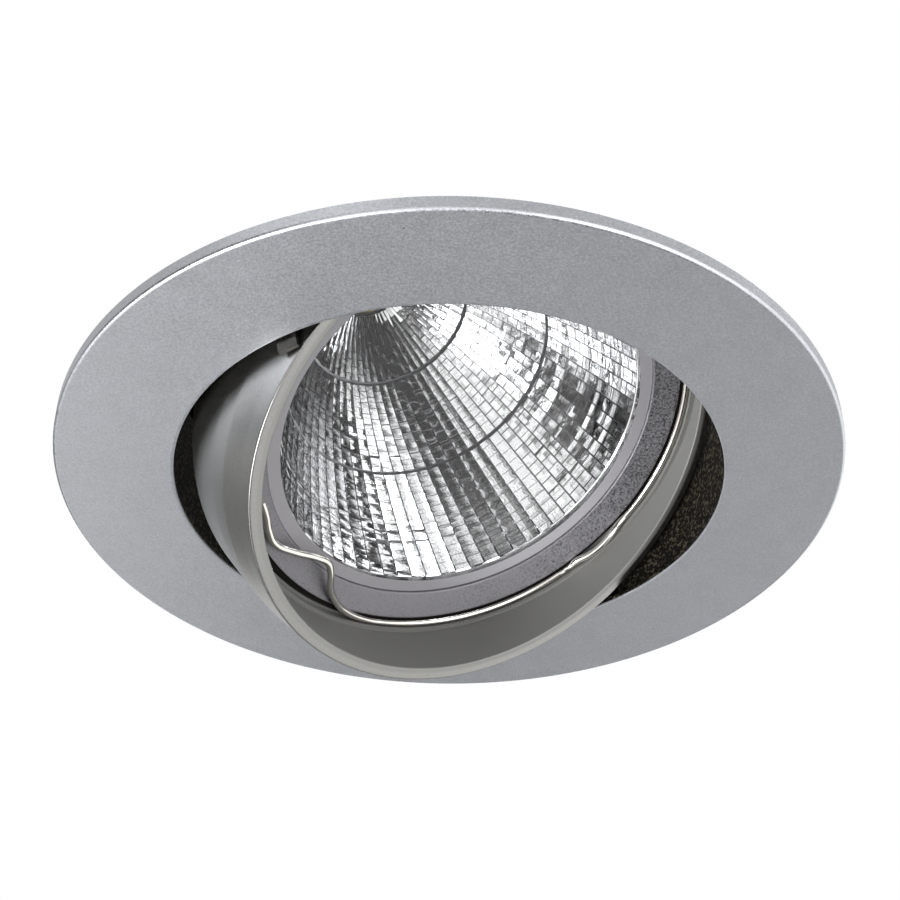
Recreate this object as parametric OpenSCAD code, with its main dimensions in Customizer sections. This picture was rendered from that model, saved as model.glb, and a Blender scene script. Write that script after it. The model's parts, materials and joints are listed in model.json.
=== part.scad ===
// Tilting soffit downlight with its lamp, lampholder and mounting springs.
// Millimetres. Z points up into the ceiling void, the ceiling's underside is z = 0,
// and the light leaves downwards. The origin is the middle of the flange's back face.
// Azimuths are measured from +X about Z. The pivots are at pivot_azimuth and opposite.

/* [Trim ring] */
// Radius of the flange at the ceiling
flange_r = 40; // [39:0.5:46]
// Thickness of the flange
flange_t = 1.55; // [1.4:0.05:2]
// Gap between the cup's wall and the edge of the round opening
opening_gap = 0.4; // [0.35:0.05:0.7]
// Thickness of the thin lip round the opening
lip_t = 0.7; // [0.5:0.05:1]
// Gap between the cup's wall and the collar
side_gap = 1.6; // [1.5:0.05:1.9]
// Wall of the collar
collar_t = 1.5; // [1.3:0.1:1.8]
// Height of the collar above the ceiling's underside
collar_h = 13; // [12.9:0.1:13.4]

/* [Tilt] */
// Azimuth of one pivot, in degrees
pivot_azimuth = 55; // [0:5:90]
// Height of the pivot axis above the ceiling's underside
pivot_z = 8.3; // [8.1:0.1:8.5]
// Tilt of the cup as drawn, in degrees
cup_tilt = 35.4; // [0:0.1:35.4]

/* [Cup] */
// Width of the cup's rim, seen from below
rim_t = 1.4; // [1.3:0.05:1.5]
// How far the cup's wall swells above its rim
wall_swell = 0.7; // [0.6:0.05:0.8]
// Depth of the clip's groove round the lamp
groove_t = 0.5; // [0.45:0.05:0.6]
// Height of the cup's back edge above the pivot
cup_top = 5; // [4.5:0.1:5.2]
// Lean of the lamp's seat in the cup, in degrees
lamp_lean = 8.5; // [8:0.1:8.8]
// Depth of the lamp's face below the pivot, along the cup's axis
lamp_drop = 4.74; // [4.6:0.02:4.8]

/* [Lamp] */
// Radius of the lamp's bezel
bezel_r = 25; // [24.9:0.05:25.05]
// Width of the bezel's metal ring
bezel_w = 3.4; // [3.2:0.1:3.8]
// Width of the dark band of glass round the reflector's mouth
glass_band = 1.4; // [1.1:0.1:1.6]
// Depth of the reflector, from its mouth to its focus
dish_depth = 30.7; // [30.6:0.1:31.5]
// Distance between the lamp's two pins
pin_pitch = 10; // [9.8:0.1:10.2]
// Number of cooling ribs round the lamp's housing
rib_count = 24; // [12:1:28]

/* [Wire clip] */
// Thickness of the round wire that holds the lamp
clip_wire = 0.8; // [0.7:0.05:0.85]

/* [Springs] */
// Thickness of the spring wire
spring_wire = 1.2; // [1.1:0.05:1.2]
// Mean radius of the spring's curls
curl_r = 2.45; // [2.4:0.01:2.46]
// Length of the straight part of a spring's arm
arm_length = 30; // [24:1:36]
// Radius of the turn at an arm's tip
tip_r = 5; // [4.5:0.1:5]
// Slope of a spring's arm below level, in degrees
arm_slope = 14; // [10:1:15]

/* [Lampholder] */
// Turn the lampholder makes to release the lamp, in degrees
twist_turn = 25; // [20:1:25]
// Radius of the lampholder's round body
holder_r = 13.4; // [13:0.1:13.8]
// Height of the lampholder's body
holder_h = 16; // [15.5:0.1:18]

/* [Hidden] */

$fn = 64;
eps = 0.05;
rim_drop = pivot_z + flange_t;
rim_h = 2;
lip_z = lip_t - flange_t;

// radii, from the lamp outwards
lamp_fit = 0.2;
pocket_r = bezel_r + lamp_fit;
groove_r = bezel_r + groove_t;
bore_r = groove_r;
rim_r = bore_r + rim_t;
wall_r = rim_r + wall_swell;
opening_r = wall_r + opening_gap;
collar_r = wall_r + side_gap;
collar_out = collar_r + collar_t;
pad_t = 0.2;
pad_x = collar_out + pad_t;
pad_w = 16;
pad_z = 2.3;

// bracket and its spring
sheet = 1;
plate_x = pad_x + sheet;
plate_z = 2.4;
plate_top = 15.5;
bracket_w = 14;
ear_in = pad_x - 3.3;
ear_out = pad_x + 2.1;
ear_low = 6;
ear_top = 24;
ear_cut = 1.6;
ear_corner = 2;
pin_x = pad_x - 0.5;
pin_z = 19.6;
pin_r = 1;
pin_cap_r = 1.7;
pin_cap_t = 0.8;
rivet_r = 1.1;
rivet_head_r = 1.5;
rivet_head_t = 0.7;
rivet_y = 4.4;
rivet_z = 4.6;

// pivot
screw_r = 1.5;
screw_fit = 0.06;
screw_head_r = 2.7;
screw_head_t = 0.8;
head_x = plate_x + 0.1 + screw_head_t;
cross_w = 2.8;
washer_r = 3.1;
washer_t = 1.4;
spot_r = 4.3;
leaf_t = 0.4;
leaf_w = 4.8;
leaf_x = collar_r - leaf_t;
leaf_gap = 0.12;
leaf_ball = norm([rim_r, rim_drop]) + leaf_gap;
leaf_above = 3.7;
leaf_low = -2.3;
leaf_start = 4.2;
foot_w = 2.2;
leaf_shift = 0.8;
flat_x = leaf_x - 0.1 - washer_t;

// seat of the lamp, measured from its face along its own axis
step_w = 0.6;
step_r = bezel_r - step_w;
step_z = 0.35;
wire_z = step_z - clip_wire / 2;
pocket_z = wire_z - 0.95;
seat_z = 3.2;
seat_w = 1.4;
seat_r = bezel_r - seat_w;
seat_t = 2.2;
back_r = bezel_r - lamp_fit;

// lamp
bezel_in = 1;
glass_z = 1.3;
glass_t = 1.2;
glass_edge = 1.8;
glass_r = bezel_r - glass_edge;
window_r = bezel_r - bezel_w;
mouth_r = window_r - glass_band;
mouth_z = 2.6;
dish_z = mouth_z + dish_depth;
dish_a = (mouth_r * mouth_r) / dish_depth;
dish_end = 32;
shell = 0.8;
emitter_r = 3.5;
emitter_t = 0.8;
emitter_sink = 0.2;
board_r = 9;
board_t = 1.4;
board_fit = 0.1;
board_top = dish_end - emitter_sink + emitter_t + board_t;
skirt_r = bezel_r - 2.4;
skirt_z = 9;
skirt_t = 1.2;
waist_z = 14;
waist_r = dish_r(waist_z) + shell + 2.55;
stem_z = 30;
stem_r = dish_r(stem_z) + shell + 7.05;
top_r = stem_r - 1.2;
housing_top = 36.6;
rib_t = 1;
plug_r = 8.3;
plug_wall = 1.6;
plug_fit = 0.1;
plug_gap = 0.6;
cone_r = 12.6;
cone_z = 40.5;
neck_r = 9.2;
neck_z = 44.5;
base_top = 47;
base_floor = 3;
driver_w = 12;
driver_t = 1.2;
driver_top = 44;
pin_head_z = 51.6;
pin_head_t = 1.7;
pin_shaft = 1.25;
pin_head = 2.4;

// lampholder
head_room = 0.3;
holder_z = base_top + head_room;
holder_top = holder_z + holder_h;
lug_w = 6.8;
lug_y = 15.4;
cap_t = 2.4;
fix_y = 11.4;
fix_r = 1.1;
fix_head_r = 2.2;
fix_head_t = 1.3;
fix_deep = 8;
lead_r = 1.6;
lead_x = 5.4;
chamber_w = 16.4;
chamber_y = 6;
chamber_z = pin_head_z + 4;
tongue_w = 3.4;
tongue_t = 0.4;
block_w = 5.2;
block_h = 3.4;

// spring coil
curl_turns = 6;
coil_w = 10;
curl_pitch = coil_w / curl_turns;
tube_sides = 6;
sleeve_r = 1.15;
sleeve_leg = 7;

function unit(v) = v / norm(v);
function tangents(p) =
    [for (i = [0:len(p) - 1]) unit(p[min(i + 1, len(p) - 1)] - p[max(i - 1, 0)])];
function carried(t, n, i = 0, acc = []) =
    i >= len(t) ? acc :
    let (m = unit(n - (n * t[i]) * t[i]))
    carried(t, m, i + 1, concat(acc, [m]));
function dish_r(z) = sqrt(dish_a * (dish_z - z));

// round wire along a path: rings carried along without twisting
module wire(path, r, sides, first_normal) {
    t = tangents(path);
    n = carried(t, first_normal);
    last = len(path) - 1;
    points = [
        for (i = [0:last])
            for (k = [0:sides - 1])
                path[i] + r * (cos(360 * k / sides) * n[i] + sin(360 * k / sides) * cross(t[i], n[i]))
    ];
    walls = [
        for (i = [0:last - 1])
            for (k = [0:sides - 1])
                let (j = (k + 1) % sides, a = i * sides, b = a + sides)
                each [[a + k, b + k, b + j], [a + k, b + j, a + j]]
    ];
    end = last * sides;
    caps = [
        for (k = [1:sides - 2])
            each [[0, k, k + 1], [end, end + k + 1, end + k]]
    ];
    polyhedron(points = points, faces = concat(walls, caps), convexity = 10);
}

// frames: the side of one pivot, the tilted cup, the leaning lamp
module at_side(a) {
    rotate([0, 0, pivot_azimuth + a]) children();
}

module at_cup() {
    translate([0, 0, pivot_z])
        rotate([0, 0, pivot_azimuth])
            rotate([-cup_tilt, 0, 0])
                children();
}

module at_lamp() {
    at_cup()
        translate([0, 0, -lamp_drop])
            rotate([lamp_lean, 0, 0])
                children();
}

module rod_x(x0, x1, r, y, z) {
    translate([x0, y, z])
        rotate([0, 90, 0])
            cylinder(r = r, h = x1 - x0);
}

module rod_y(y0, y1, r, x, z) {
    translate([x, y1, z])
        rotate([90, 0, 0])
            cylinder(r = r, h = y1 - y0);
}

// ---- trim ring: flange, thin lip and collar in one casting
module trim_ring() {
    color("Silver")
        difference() {
            union() {
                rotate_extrude($fn = 128)
                    polygon([
                        [opening_r, -flange_t],
                        [flange_r - 0.8, -flange_t],
                        [flange_r - 0.5, -flange_t + 0.06],
                        [flange_r - 0.2, -flange_t + 0.3],
                        [flange_r, -flange_t + 0.7],
                        [flange_r, 0],
                        [collar_out, 0],
                        [collar_out, collar_h],
                        [collar_r, collar_h],
                        [collar_r, lip_z],
                        [opening_r, lip_z]
                    ]);
                for (a = [0, 180])
                    at_side(a)
                        translate([collar_r + collar_t / 3, -pad_w / 2, pad_z])
                            cube([pad_x - collar_r - collar_t / 3, pad_w, collar_h - pad_z]);
            }
            for (a = [0, 180])
                at_side(a) {
                    rod_x(collar_r - 2, pad_x + 1, screw_r + screw_fit, 0, pivot_z);
                    rod_x(collar_r - 2, collar_r, spot_r, 0, pivot_z);
                    for (y = [-rivet_y, rivet_y])
                        rod_x(collar_r - 2, pad_x + 1, rivet_r, y, rivet_z);
                }
        }
}

// ---- side bracket: plate riveted on the collar with two ears for the spring's pin
module side_bracket() {
    color("Gainsboro")
        difference() {
            union() {
                translate([pad_x, -bracket_w / 2, plate_z])
                    cube([sheet, bracket_w, plate_top - plate_z]);
                for (y = [-bracket_w / 2, bracket_w / 2 - sheet])
                    translate([0, y + sheet, 0])
                        rotate([90, 0, 0])
                            linear_extrude(height = sheet)
                                polygon([
                                    [pad_x, plate_z],
                                    [plate_x, plate_z],
                                    [ear_out, ear_low],
                                    [ear_out, ear_top - ear_corner],
                                    [ear_out - ear_cut, ear_top],
                                    [ear_in + ear_cut, ear_top],
                                    [ear_in, ear_top - ear_corner],
                                    [ear_in, collar_h + ear_corner],
                                    [ear_in + ear_cut, collar_h + 0.4],
                                    [pad_x, collar_h + 0.4]
                                ]);
            }
            rod_x(pad_x - 1, plate_x + 1, screw_r + 0.1, 0, pivot_z);
            for (y = [-rivet_y, rivet_y])
                rod_x(pad_x - 1, plate_x + 1, rivet_r, y, rivet_z);
            rod_y(-bracket_w, bracket_w, pin_r, pin_x, pin_z);
        }
}

module side_bracket_a() {
    at_side(0) side_bracket();
}

module side_bracket_b() {
    at_side(180) side_bracket();
}

module bracket_rivets() {
    color("Silver")
        for (a = [0, 180])
            for (y = [-rivet_y, rivet_y])
                at_side(a) {
                    rod_x(collar_r + 0.2, plate_x, rivet_r, y, rivet_z);
                    rod_x(plate_x, plate_x + rivet_head_t, rivet_head_r, y, rivet_z);
                }
}

// leaf spring on the pivot: its foot lies along the cup's path and steadies the tilt
module pivot_leaf() {
    knee = pivot_z - washer_r - 0.1;
    foot = [
        for (z = [leaf_start:-1.3:leaf_low])
            [sqrt(pow(leaf_ball, 2) - pow(pivot_z - z, 2)), z]
    ];
    outside = [for (i = [len(foot) - 1:-1:0]) foot[i] + [leaf_t, 0]];
    difference() {
        union() {
            translate([leaf_x, -leaf_w / 2, knee])
                cube([leaf_t, leaf_w, pivot_z + leaf_above - knee]);
            translate([0, leaf_w / 2, 0])
                rotate([90, 0, 0])
                    linear_extrude(height = leaf_w)
                        polygon([
                            [leaf_x, knee + eps], [leaf_x, knee], foot[0],
                            foot[0] + [leaf_t, 0], [collar_r, knee], [collar_r, knee + eps]
                        ]);
            translate([0, leaf_shift + foot_w / 2, 0])
                rotate([90, 0, 0])
                    linear_extrude(height = foot_w)
                        polygon(concat(foot, outside));
        }
        rod_x(leaf_x - 1, collar_r + 1, screw_r + 0.1, 0, pivot_z);
    }
}

module pivot_leaves() {
    color("White")
        for (a = [0, 180])
            at_side(a) pivot_leaf();
}

module spring_pins() {
    color("Silver")
        for (a = [0, 180])
            at_side(a) {
                rod_y(-bracket_w / 2, bracket_w / 2, pin_r, pin_x, pin_z);
                rod_y(bracket_w / 2, bracket_w / 2 + pin_cap_t, pin_cap_r, pin_x, pin_z);
                rod_y(-bracket_w / 2 - pin_cap_t, -bracket_w / 2, pin_cap_r - 0.35, pin_x, pin_z);
            }
}

// ---- mounting spring: a coil on the pin, and one arm that turns back at its tip
arm_dir = [cos(arm_slope), 0, -sin(arm_slope)];
curl_end = 90 - arm_slope;
curl_mid = [pin_x, 0, pin_z];
function curl(i) =
    let (a = curl_end + 360 * curl_turns - 45 * i)
    curl_mid + [curl_r * cos(a), -coil_w / 2 + curl_pitch * i / 8, curl_r * sin(a)];
curls = [for (i = [0:8 * curl_turns]) curl(i)];
arm_start = curls[len(curls) - 1];
arm_tip = arm_start + arm_length * arm_dir - [0, tip_r, 0];
arm_bend = [
    for (a = [90:-22.5:-90])
        arm_tip + tip_r * (cos(a) * arm_dir + [0, sin(a), 0])
];
arm_back = arm_tip - [0, tip_r, 0] - (arm_length - sleeve_leg - 2) * arm_dir;
spring_path = concat(
    [curls[0] - (spring_wire + 0.4) * arm_dir],
    curls,
    [arm_start + 2 * arm_dir],
    arm_bend,
    [arm_back]
);
coil_gap = min([
    for (i = [0:len(curls) - 9])
        norm(curls[i + 8] - curls[i]) - spring_wire
]);
echo(coil_gap = coil_gap);

module mounting_spring() {
    color("LightSteelBlue")
        wire(spring_path, spring_wire / 2, tube_sides, [0, 1, 0]);
}

module mounting_spring_a() {
    at_side(0) mounting_spring();
}

module mounting_spring_b() {
    at_side(180) mounting_spring();
}

// plastic sleeve over the arm's turned tip
module spring_sleeve() {
    bore = spring_wire / 2 + 0.03;
    color("WhiteSmoke")
        translate(arm_tip)
            rotate([0, arm_slope, 0]) {
                rotate([0, 0, -90])
                    rotate_extrude(angle = 180)
                        translate([tip_r, 0])
                            difference() {
                                circle(r = sleeve_r, $fn = 24);
                                circle(r = bore, $fn = 24);
                            }
                for (y = [-tip_r, tip_r])
                    translate([-sleeve_leg, y, 0])
                        rotate([0, 90, 0])
                            difference() {
                                cylinder(r = sleeve_r, h = sleeve_leg, $fn = 24);
                                translate([0, 0, -1])
                                    cylinder(r = bore, h = sleeve_leg + 2, $fn = 24);
                            }
            }
}

module spring_sleeve_a() {
    at_side(0) spring_sleeve();
}

module spring_sleeve_b() {
    at_side(180) spring_sleeve();
}

// ---- cup: the tilting ring that carries the lamp
module cup() {
    color("DarkKhaki")
        at_cup()
            difference() {
                rotate_extrude($fn = 128)
                    polygon([
                        [bore_r - 4, -rim_drop],
                        [rim_r - 0.12, -rim_drop],
                        [rim_r, -rim_drop + 0.12],
                        [rim_r + 0.2, -rim_drop + rim_h],
                        [wall_r - 0.1, -rim_drop + 2.5 * rim_h],
                        [wall_r, -rim_drop + 3.7 * rim_h],
                        [wall_r, cup_top - rim_h],
                        [wall_r - 0.7, cup_top],
                        [bore_r - 4, cup_top]
                    ]);
                translate([0, 0, -lamp_drop])
                    rotate([lamp_lean, 0, 0]) {
                        translate([0, 0, -2 * rim_drop])
                            cylinder(r = pocket_r, h = 2 * rim_drop + seat_z, $fn = 128);
                        translate([0, 0, wire_z - 0.6])
                            cylinder(r = groove_r, h = 1.2, $fn = 128);
                        cylinder(r = seat_r, h = 30, $fn = 128);
                        translate([0, 0, seat_z + seat_t])
                            cylinder(r = back_r, h = 20, $fn = 128);
                    }
                intersection() {
                    translate([0, 0, -rim_drop - 1])
                        cylinder(r = bore_r, h = rim_drop + cup_top, $fn = 128);
                    translate([0, 0, -lamp_drop])
                        rotate([lamp_lean, 0, 0])
                            translate([0, 0, pocket_z - 2 * rim_drop])
                                cylinder(r = 2 * wall_r, h = 2 * rim_drop);
                }
                for (a = [0, 180])
                    rotate([0, 0, a]) {
                        rod_x(flat_x, flat_x + 3, washer_r + 0.2, 0, 0);
                        rod_x(back_r - 3, flat_x + 1, screw_r, 0, 0);
                    }
            }
}

module pivot_screws() {
    color("Silver")
        at_cup()
            for (a = [0, 180])
                rotate([0, 0, a])
                    difference() {
                        union() {
                            rod_x(back_r + 0.4, plate_x + 0.1, screw_r, 0, 0);
                            rod_x(plate_x + 0.1, head_x, screw_head_r, 0, 0);
                            rod_x(head_x, head_x + 0.5, screw_head_r - 0.5, 0, 0);
                        }
                        for (q = [0, 90])
                            translate([head_x, 0, 0])
                                rotate([q + 45, 0, 0])
                                    translate([0, -cross_w / 2, -0.3])
                                        cube([1, cross_w, 0.6]);
                    }
}

module friction_washers() {
    color("WhiteSmoke")
        at_cup()
            for (a = [0, 180])
                rotate([0, 0, a])
                    difference() {
                        rod_x(flat_x, flat_x + washer_t, washer_r, 0, 0);
                        rod_x(flat_x - 1, leaf_x + 1, screw_r, 0, 0);
                    }
}

// ---- wire clip: nearly a full turn in the cup's groove, with a squeeze tab at one end
clip_r = groove_r - clip_wire / 2 - 0.05;
clip_bump = 1;
tab_z = wire_z - 0.42;
function bump(a) = max(0, 1 - pow((a + 1) / 9, 2));
clip_ring = [
    for (a = [-216:6:66])
        let (r = clip_r - 0.5 * clip_bump * min(1, 2.5 * bump(a)))
        [r * cos(a), r * sin(a), wire_z - clip_bump * bump(a)]
];
clip_tab = [
    [6.3, clip_r - 1.51, tab_z + 0.1],
    [3.9, clip_r - 1.99, tab_z],
    [2.5, clip_r - 2.71, tab_z],
    [0.5, clip_r - 4.36, tab_z],
    [-0.4, clip_r - 4.74, tab_z],
    [-1.7, clip_r - 4.54, tab_z],
    [-4.7, clip_r - 3.45, tab_z],
    [-7.1, clip_r - 2.99, tab_z],
    [-8.9, clip_r - 3.7, tab_z],
    [-10.7, clip_r - 4.87, tab_z],
    [-12.3, clip_r - 5.7, tab_z]
];
clip_path = concat(clip_ring, clip_tab);

module wire_clip() {
    color("Gold")
        at_lamp()
            wire(clip_path, clip_wire / 2, 8, [0, 0, 1]);
}

// ---- lamp
module lamp_bezel() {
    color("Thistle")
        at_lamp()
            rotate_extrude($fn = 128)
                polygon([
                    [window_r, bezel_in + 0.12],
                    [window_r + 0.15, bezel_in],
                    [step_r - 0.1, 0],
                    [step_r, 0.1],
                    [step_r, step_z],
                    [bezel_r, step_z],
                    [bezel_r, seat_z],
                    [glass_r + 0.1, seat_z],
                    [glass_r + 0.1, glass_z],
                    [window_r, glass_z]
                ]);
}

module lamp_glass() {
    color("LightBlue", 0.4)
        at_lamp()
            translate([0, 0, glass_z])
                cylinder(r = glass_r, h = glass_t, $fn = 128);
}

module reflector() {
    last = 13;
    zs = [for (i = [0:last]) mouth_z + (dish_end - mouth_z) * i / last];
    inner = [for (z = zs) [dish_r(z), z]];
    outer = [for (i = [last:-1:0]) [dish_r(zs[i]) + shell, zs[i] + (i == last ? 0 : shell / 2)]];
    color("White")
        at_lamp()
            rotate_extrude($fn = 96)
                polygon(concat(
                    [[glass_r - 0.1, glass_z + glass_t], [mouth_r + 0.1, glass_z + glass_t]],
                    inner,
                    outer,
                    [[glass_r - 0.1, seat_z - 0.2]]
                ));
}

module led_emitter() {
    color("Khaki")
        at_lamp()
            translate([0, 0, dish_end - emitter_sink])
                cylinder(r = emitter_r, h = emitter_t);
}

module led_board() {
    color("WhiteSmoke")
        at_lamp()
            translate([0, 0, board_top - board_t])
                cylinder(r = board_r, h = board_t);
}

module lamp_housing() {
    inside = skirt_r - skirt_t;
    color("Gainsboro")
        at_lamp()
            difference() {
                union() {
                    rotate_extrude($fn = 96)
                        polygon([
                            [inside, seat_z], [skirt_r, seat_z], [skirt_r, skirt_z],
                            [waist_r, waist_z], [stem_r, stem_z], [top_r, housing_top],
                            [plug_r + plug_wall + plug_fit, housing_top],
                            [plug_r + plug_wall + plug_fit, board_top],
                            [board_r - 0.8, board_top],
                            [board_r + board_fit, board_top],
                            [board_r + board_fit, board_top - board_t],
                            [stem_r - 1.2, stem_z - 1], [waist_r - 1.1, waist_z - 0.4],
                            [inside, skirt_z - 0.6]
                        ]);
                    for (i = [0:rib_count - 1])
                        rotate([0, 0, 360 * i / rib_count])
                            translate([0, rib_t / 2, 0])
                                rotate([90, 0, 0])
                                    linear_extrude(height = rib_t)
                                        polygon([
                                            [waist_r - 0.7, waist_z - 0.6],
                                            [skirt_r - 0.2, skirt_z - 0.4],
                                            [skirt_r - 0.2, waist_z],
                                            [waist_r + 0.4, waist_z + 7],
                                            [top_r + 2, housing_top - 0.2],
                                            [top_r - 0.8, housing_top - 0.2]
                                        ]);
                }
                translate([0, 0, board_top - eps])
                    cylinder(r = board_r - 0.8, h = housing_top);
            }
}

module driver_board() {
    color("SeaGreen")
        at_lamp() {
            translate([-driver_w / 2, -driver_t / 2, board_top])
                cube([driver_w, driver_t, driver_top - board_top]);
            translate([-driver_w / 4, driver_t / 2, housing_top])
                cube([driver_w / 2, 4, 7]);
            translate([-driver_w / 5, -driver_t / 2 - 3, housing_top - 2])
                cube([driver_w / 2.5, 3, 5]);
        }
}

module lamp_base() {
    color("White")
        at_lamp()
            difference() {
                rotate_extrude()
                    polygon([
                        [plug_r + plug_wall, board_top + plug_gap], [plug_r + plug_wall, housing_top],
                        [top_r, housing_top], [cone_r, cone_z], [neck_r + 0.4, neck_z],
                        [neck_r, base_top], [0, base_top], [0, base_top - base_floor],
                        [neck_r - 1.2, base_top - base_floor], [plug_r, cone_z + 1.5],
                        [plug_r, board_top + plug_gap]
                    ]);
                for (s = [-1, 1])
                    translate([s * pin_pitch / 2, 0, base_top - base_floor - 1])
                        cylinder(r = pin_shaft, h = base_floor + 2);
            }
}

module lamp_pins() {
    color("Silver")
        at_lamp()
            for (s = [-1, 1])
                translate([s * pin_pitch / 2, 0, 0]) {
                    translate([0, 0, base_top - base_floor])
                        cylinder(r = pin_shaft, h = pin_head_z - base_top + base_floor);
                    translate([0, 0, pin_head_z])
                        cylinder(r = pin_head, h = pin_head_t);
                }
}

// ---- lampholder: it twists on the pins' heads
// outline of an arc from the way in, at -twist_turn, to the locked place, at 0
function around(centre, r, from, to, steps) =
    [for (i = [0:steps]) let (a = from + (to - from) * i / steps) centre + r * [cos(a), sin(a)]];
function slot_outline(half) =
    let (mid = pin_pitch / 2, low = mid * [cos(twist_turn), -sin(twist_turn)])
    concat(
        around([0, 0], mid + half, -twist_turn + 2, -2, 4),
        around([mid, 0], half, 10, 170, 6),
        around([0, 0], mid - half, -2, -twist_turn + 2, 3),
        around(low, half, 170 - twist_turn, 350 - twist_turn, 6)
    );

module twist_slot(z0, z1, half) {
    translate([0, 0, z0])
        linear_extrude(height = z1 - z0)
            polygon(slot_outline(half));
}

module holder_body() {
    ledge = pin_head_z - head_room;
    color("Ivory")
        at_lamp()
            difference() {
                union() {
                    translate([0, 0, holder_z])
                        cylinder(r = holder_r, h = holder_h);
                    for (s = [-1, 1])
                        translate([-lug_w / 2, s * lug_y / 2 - lug_y / 2, holder_z])
                            cube([lug_w, lug_y, holder_h]);
                }
                for (s = [0, 180])
                    rotate([0, 0, s]) {
                        twist_slot(holder_z - 1, ledge + 0.2, pin_shaft + head_room);
                        twist_slot(ledge, chamber_z + 0.2, pin_head + head_room);
                        rotate([0, 0, -twist_turn])
                            translate([pin_pitch / 2, 0, holder_z - 1])
                                cylinder(r = pin_head + head_room + 0.15, h = ledge - holder_z + 1.1);
                    }
                translate([-chamber_w / 2, -chamber_y / 2, chamber_z])
                    cube([chamber_w, chamber_y, holder_h]);
                for (s = [-1, 1])
                    translate([0, s * fix_y, holder_top - fix_deep - 1])
                        cylinder(r = fix_r, h = fix_deep + 2);
            }
}

// sprung contacts above the pins' heads, each with its terminal block
module holder_contacts() {
    tongue_z = pin_head_z + pin_head_t + head_room;
    tongue_x = pin_pitch / 2 + tongue_w / 2;
    block_x = chamber_w / 2 - block_w;
    post_x = lead_x + lead_r + tongue_t;
    color("Goldenrod")
        at_lamp()
            for (s = [0, 180])
                rotate([0, 0, s]) {
                    translate([tongue_x - tongue_w, -tongue_w / 2, tongue_z])
                        cube([tongue_w, tongue_w, tongue_t]);
                    translate([tongue_x - tongue_t, -tongue_w / 2, tongue_z])
                        cube([tongue_t, tongue_w, chamber_z + 2 * tongue_t - tongue_z]);
                    translate([tongue_x - tongue_t, -tongue_w / 2, chamber_z + tongue_t])
                        cube([post_x + 2 * tongue_t - tongue_x, tongue_w, tongue_t]);
                    translate([post_x, -tongue_w / 2, chamber_z + tongue_t])
                        cube([tongue_t, tongue_w, holder_top - block_h - chamber_z]);
                    translate([block_x, -chamber_y / 2, holder_top - block_h])
                        difference() {
                            cube([block_w, chamber_y, block_h]);
                            translate([lead_x - block_x, chamber_y / 2, -1])
                                cylinder(r = lead_r, h = block_h + 2);
                        }
                }
}

module holder_cap() {
    color("Snow")
        at_lamp()
            difference() {
                union() {
                    translate([0, 0, holder_top])
                        cylinder(r = holder_r, h = cap_t);
                    for (s = [-1, 1])
                        translate([-lug_w / 2, s * lug_y / 2 - lug_y / 2, holder_top])
                            cube([lug_w, lug_y, cap_t]);
                }
                for (s = [-1, 1]) {
                    translate([s * lead_x, 0, holder_top - 1])
                        cylinder(r = lead_r, h = cap_t + 2);
                    translate([0, s * fix_y, holder_top - 1])
                        cylinder(r = fix_r + 0.2, h = cap_t + 2);
                }
            }
}

module holder_screws() {
    color("Silver")
        at_lamp()
            for (s = [-1, 1])
                translate([0, s * fix_y, holder_top])
                    difference() {
                        union() {
                            translate([0, 0, -fix_deep])
                                cylinder(r = fix_r, h = fix_deep + cap_t);
                            translate([0, 0, cap_t])
                                cylinder(r = fix_head_r, h = fix_head_t);
                        }
                        translate([-fix_head_r - 1, -0.3, cap_t + fix_head_t / 2])
                            cube([2 * fix_head_r + 2, 0.6, fix_head_t]);
                    }
}

trim_ring();
side_bracket_a();
side_bracket_b();
bracket_rivets();
pivot_leaves();
spring_pins();
mounting_spring_a();
mounting_spring_b();
spring_sleeve_a();
spring_sleeve_b();
cup();
pivot_screws();
friction_washers();
wire_clip();
lamp_bezel();
lamp_glass();
reflector();
led_emitter();
led_board();
lamp_housing();
driver_board();
lamp_base();
lamp_pins();
holder_body();
holder_contacts();
holder_cap();
holder_screws();
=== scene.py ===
"""Tilting soffit downlight: turned metal, lamp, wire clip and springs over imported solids."""

import json
import math

import bmesh
import bpy
from mathutils import Matrix, Vector

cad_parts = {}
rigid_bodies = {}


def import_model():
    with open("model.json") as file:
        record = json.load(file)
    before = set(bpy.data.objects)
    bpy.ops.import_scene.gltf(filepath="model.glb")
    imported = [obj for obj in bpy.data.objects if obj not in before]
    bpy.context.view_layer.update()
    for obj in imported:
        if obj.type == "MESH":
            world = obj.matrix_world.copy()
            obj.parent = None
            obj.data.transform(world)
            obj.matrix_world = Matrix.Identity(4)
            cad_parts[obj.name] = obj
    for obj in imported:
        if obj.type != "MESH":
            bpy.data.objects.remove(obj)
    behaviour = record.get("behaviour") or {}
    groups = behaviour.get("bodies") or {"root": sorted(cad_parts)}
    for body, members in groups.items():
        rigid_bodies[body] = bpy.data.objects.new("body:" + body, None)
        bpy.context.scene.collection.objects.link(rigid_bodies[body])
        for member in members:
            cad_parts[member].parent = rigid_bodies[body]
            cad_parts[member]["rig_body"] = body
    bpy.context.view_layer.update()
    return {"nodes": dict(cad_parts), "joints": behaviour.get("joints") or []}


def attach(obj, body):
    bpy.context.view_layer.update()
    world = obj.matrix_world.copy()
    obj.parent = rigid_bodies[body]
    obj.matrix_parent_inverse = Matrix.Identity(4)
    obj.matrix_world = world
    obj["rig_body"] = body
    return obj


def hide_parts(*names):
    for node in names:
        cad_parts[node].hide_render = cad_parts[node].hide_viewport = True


bl_info = {
    "name": "Soffit downlight",
    "version": (1, 0, 0),
    "blender": (4, 5, 0),
    "location": "View3D > Sidebar > Downlight",
    "description": "Builds a tilting soffit downlight over its packed frame",
    "category": "Object",
}

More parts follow.
